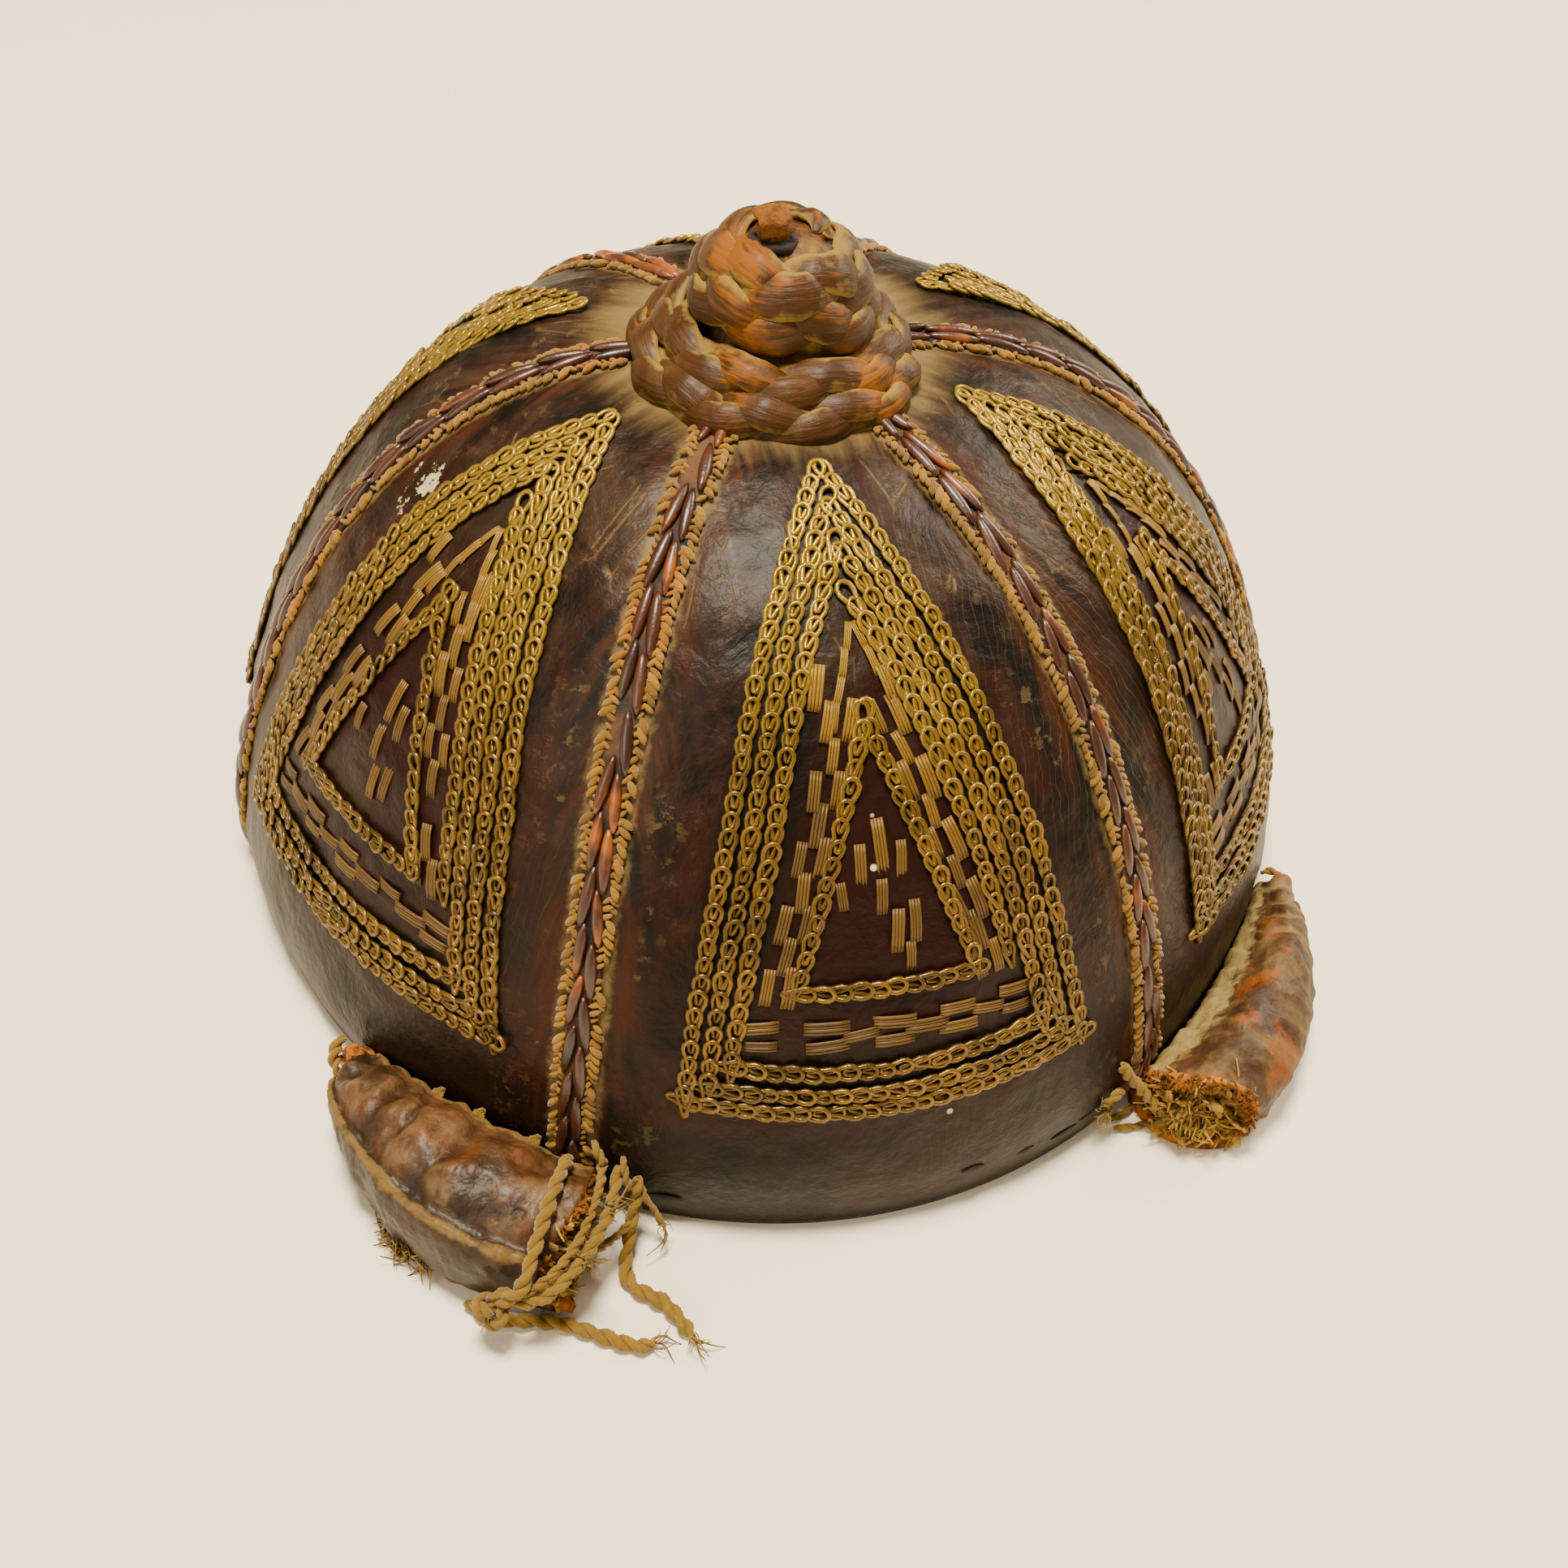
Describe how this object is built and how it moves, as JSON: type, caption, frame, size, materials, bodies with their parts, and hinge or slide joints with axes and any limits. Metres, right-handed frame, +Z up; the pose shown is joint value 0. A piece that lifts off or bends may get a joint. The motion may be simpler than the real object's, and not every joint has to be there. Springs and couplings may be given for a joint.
{
  "type": "leather hat",
  "caption": "Domed leather cap of sewn gores with raised seam welts, a coiled plaited topknot and stuffed rolls along the rim.",
  "frame": {"origin": "centre of the head opening, in the plane of the rim, which stands on the ground", "axes": "+Z up through the crown, -Y to the front gore between the two rolls, +X to the wearer's left, which is the right side in a front view"},
  "size_m": [0.2045, 0.2165, 0.132],
  "materials": {
    "crown_leather": "satin, worn",
    "welt_leather": "semi-gloss, worn",
    "plait_leather": "satin, worn",
    "roll_leather": "satin, worn",
    "filling": "rough fibre",
    "yarn": "rough twisted yarn"
  },
  "bodies": {
    "root": {"gore_front": "crown_leather", "gore_front_right": "crown_leather", "gore_back_right": "crown_leather", "gore_back": "crown_leather", "gore_back_left": "crown_leather", "gore_front_left": "crown_leather", "welt_front_right": "welt_leather", "welt_right": "welt_leather", "welt_back_right": "welt_leather", "welt_back_left": "welt_leather", "welt_left": "welt_leather", "welt_front_left": "welt_leather", "topknot_braid": "plait_leather", "topknot_bulb": "plait_leather", "topknot_stub": "plait_leather", "pouch_left": "roll_leather", "pouch_right": "roll_leather", "stuffing_left": "filling", "stuffing_right": "filling", "tie_band": "yarn", "tie_lacing": "yarn", "tie_cord_long": "yarn", "tie_cord_short": "yarn"}
  },
  "joints": []
}
